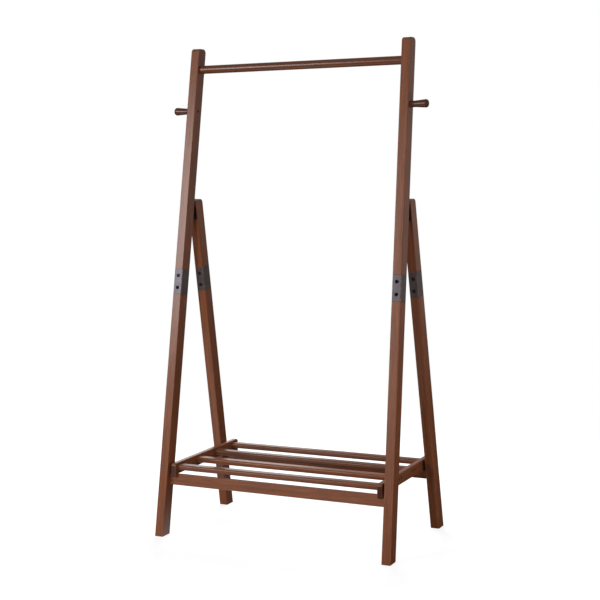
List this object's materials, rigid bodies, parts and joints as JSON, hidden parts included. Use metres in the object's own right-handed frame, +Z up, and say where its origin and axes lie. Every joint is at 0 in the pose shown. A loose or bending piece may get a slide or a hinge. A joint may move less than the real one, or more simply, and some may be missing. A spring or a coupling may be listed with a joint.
{
  "type": "clothes rack",
  "caption": "Folding A-frame wooden clothes rack with a hanging rod, side pegs and a slatted shoe shelf that hooks over the low rails.",
  "frame": {"origin": "on the floor, in the middle of the four feet", "axes": "+Z up, +X along the hanging rod to the right as seen from the front, +Y to the back"},
  "size_m": [0.931, 0.505, 1.65],
  "materials": {
    "stained_wood": "walnut stain under satin lacquer",
    "plain_wood": "plain",
    "bronze_sleeve": "dark bronze satin",
    "black_screw": "black satin",
    "dark_screw": "browned steel",
    "hinge_steel": "dark bronze satin"
  },
  "bodies": {
    "front_frame": {"front_post_lower_left": "stained_wood", "front_post_lower_right": "stained_wood", "front_post_upper_left": "stained_wood", "front_post_upper_right": "stained_wood", "front_sleeve_left": "bronze_sleeve", "front_sleeve_right": "bronze_sleeve", "front_sleeve_screws": "black_screw", "hanging_rod": "stained_wood", "peg_left": "stained_wood", "peg_right": "stained_wood", "peg_screws": "dark_screw", "front_rail": "stained_wood", "front_rail_dowels": "plain_wood", "hinge_post_leaf_left": "hinge_steel", "hinge_post_leaf_right": "hinge_steel", "hinge_pin_left": "hinge_steel", "hinge_pin_right": "hinge_steel", "hinge_post_screws": "dark_screw"},
    "rear_frame": {"rear_leg_lower_left": "stained_wood", "rear_leg_lower_right": "stained_wood", "rear_leg_upper_left": "stained_wood", "rear_leg_upper_right": "stained_wood", "rear_sleeve_left": "bronze_sleeve", "rear_sleeve_right": "bronze_sleeve", "rear_sleeve_screws": "black_screw", "rear_rail": "stained_wood", "rear_rail_dowels": "plain_wood", "hinge_leg_leaf_left": "hinge_steel", "hinge_leg_leaf_right": "hinge_steel", "hinge_leg_screws": "dark_screw"},
    "shelf": {"shelf_side_rail_left": "stained_wood", "shelf_side_rail_right": "stained_wood", "shelf_slat_1": "stained_wood", "shelf_slat_2": "stained_wood", "shelf_slat_3": "stained_wood", "shelf_slat_4": "stained_wood", "slat_screws_left": "dark_screw", "slat_screws_right": "dark_screw"}
  },
  "joints": [
    {"name": "rear_fold", "type": "hinge", "parent": "front_frame", "child": "rear_frame", "pos_m": [0, -0.0168, 1.12251], "axis": [-1, 0, 0], "range_deg": [0, 20.2]},
    {"name": "shelf_lift", "type": "slide", "parent": "front_frame", "child": "shelf", "axis": [0, 0, 1], "range_m": [0, 0.15]}
  ]
}
